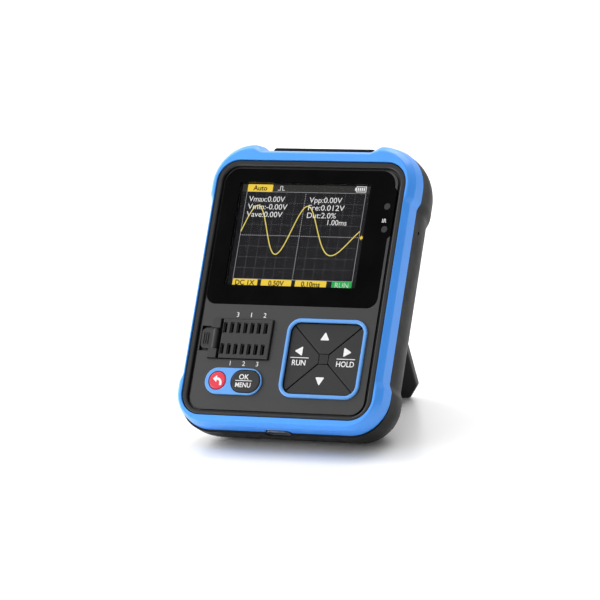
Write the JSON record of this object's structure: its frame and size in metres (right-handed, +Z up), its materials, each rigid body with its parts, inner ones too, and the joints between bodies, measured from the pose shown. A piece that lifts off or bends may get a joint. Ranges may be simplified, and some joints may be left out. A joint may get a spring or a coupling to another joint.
{
  "type": "handheld oscilloscope",
  "caption": "Pocket oscilloscope and component tester leaning on a fold-out stand, with a colour display, direction keys and a lever-locked test socket.",
  "frame": {"origin": "middle of the bounding box, on the surface that the instrument stands on", "axes": "+X across the face to the viewer's right, +Z up, +Y away from the viewer; the face looks towards -Y and leans back about 33 degrees on the open stand"},
  "size_m": [0.0782, 0.074, 0.0938],
  "materials": {
    "bumper_blue": "satin sky-blue moulding",
    "panel_grey": "fine matt texture, warm dark grey",
    "rear_charcoal": "fine matt texture, charcoal",
    "lens_black": "polished, printed black from behind round a clear window",
    "tape_black": "foam tape",
    "lcd_glass": "polarised display glass",
    "backlight_white": "white moulding",
    "flex_amber": "polyimide film",
    "board_green": "solder mask over glass epoxy",
    "trim_blue": "gloss sky-blue moulding",
    "key_grey": "fine matt texture with white printed legends",
    "key_red": "satin red moulding with a white printed arrow",
    "switch_black": "black moulding",
    "plunger_grey": "moulded plunger",
    "contact_gold": "gold plated spring bronze",
    "lever_steel": "black moulding",
    "mcx_gold": "gold plated brass",
    "ptfe_white": "white insulator",
    "tinned_steel": "tin plated sheet",
    "stand_black": "black moulding, ribbed inner face",
    "cell_foil": "laminated pouch foil",
    "lead_red": "insulated wire",
    "screw_black": "black zinc screw",
    "screw_nickel": "nickel plated screw",
    "ir_black": "infrared-clear dark resin",
    "led_clear": "clear resin",
    "chip_black": "moulded package",
    "crystal_can": "metal lid",
    "ferrite": "ferrite drum",
    "capacitor_can": "aluminium can on a black base"
  },
  "bodies": {
    "case": {"battery_cell": "cell_foil", "battery_header": "ptfe_white", "battery_leads": "lead_red", "battery_pad": "tape_black", "battery_plug": "ptfe_white", "board_screws": "screw_nickel", "boost_inductors": "ferrite", "case_screws": "screw_black", "charge_led": "led_clear", "charger_chip": "chip_black", "crystal": "crystal_can", "display_lens": "lens_black", "dpad_ring": "trim_blue", "filter_capacitors": "capacitor_can", "front_bumper": "bumper_blue", "front_case": "panel_grey", "ir_receiver": "ir_black", "lcd_backlight": "backlight_white", "lcd_connector": "switch_black", "lcd_flex": "flex_amber", "lcd_glass": "lcd_glass", "lens_tape": "tape_black", "main_board": "board_green", "mcx_insulators": "ptfe_white", "mcx_pins": "contact_gold", "mcx_shells": "mcx_gold", "menu_plate": "trim_blue", "power_switch_body": "switch_black", "processor": "chip_black", "rear_case": "rear_charcoal", "sampling_converter": "chip_black", "shield_can": "tinned_steel", "socket_base": "switch_black", "socket_contacts": "contact_gold", "switch_bodies": "switch_black", "usb_shell": "tinned_steel", "usb_tongue": "backlight_white"},
    "stand": {"stand": "stand_black"},
    "socket_lever": {"socket_lever": "lever_steel"},
    "socket_slider": {"socket_slider": "switch_black"},
    "power_knob": {"power_switch_knob": "switch_black"},
    "key_up": {"key_up": "key_grey", "plunger_up": "plunger_grey"},
    "key_left": {"key_left": "key_grey", "plunger_left": "plunger_grey"},
    "key_down": {"key_down": "key_grey", "plunger_down": "plunger_grey"},
    "key_right": {"key_right": "key_grey", "plunger_right": "plunger_grey"},
    "key_back": {"key_back": "key_red", "plunger_back": "plunger_grey"},
    "key_ok": {"key_ok": "key_grey", "plunger_ok": "plunger_grey"}
  },
  "joints": [
    {"name": "stand_hinge", "type": "hinge", "parent": "case", "child": "stand", "pos_m": [0, 0.01918, 0.04465], "axis": [1, 0, 0], "range_deg": [-53.3, 0]},
    {"name": "key_up_press", "type": "slide", "parent": "case", "child": "key_up", "axis": [0, 0.8431, -0.5377], "range_m": [0, 0.0005], "stiffness_N_per_m": 600, "springref_m": -0.0003},
    {"name": "key_left_press", "type": "slide", "parent": "case", "child": "key_left", "axis": [0, 0.8431, -0.5377], "range_m": [0, 0.0005], "stiffness_N_per_m": 600, "springref_m": -0.0003},
    {"name": "key_down_press", "type": "slide", "parent": "case", "child": "key_down", "axis": [0, 0.8431, -0.5377], "range_m": [0, 0.0005], "stiffness_N_per_m": 600, "springref_m": -0.0003},
    {"name": "key_right_press", "type": "slide", "parent": "case", "child": "key_right", "axis": [0, 0.8431, -0.5377], "range_m": [0, 0.0005], "stiffness_N_per_m": 600, "springref_m": -0.0003},
    {"name": "key_back_press", "type": "slide", "parent": "case", "child": "key_back", "axis": [0, 0.8431, -0.5377], "range_m": [0, 0.0005], "stiffness_N_per_m": 600, "springref_m": -0.0003},
    {"name": "key_ok_press", "type": "slide", "parent": "case", "child": "key_ok", "axis": [0, 0.8431, -0.5377], "range_m": [0, 0.0005], "stiffness_N_per_m": 600, "springref_m": -0.0003},
    {"name": "socket_lever_turn", "type": "hinge", "parent": "case", "child": "socket_lever", "pos_m": [-0.0267, -0.02016, 0.03522], "axis": [0, 0.5377, 0.8431], "range_deg": [0, 90]},
    {"name": "socket_slider_shift", "type": "slide", "parent": "case", "child": "socket_slider", "axis": [-1, 0, 0], "range_m": [0, 0.0008]},
    {"name": "power_knob_slide", "type": "slide", "parent": "case", "child": "power_knob", "axis": [1, 0, 0], "range_m": [0, 0.002]}
  ],
  "couplings": [
    {"joint": "socket_lever_turn", "follows": "socket_slider_shift", "rad_per_m": 1963.5}
  ]
}
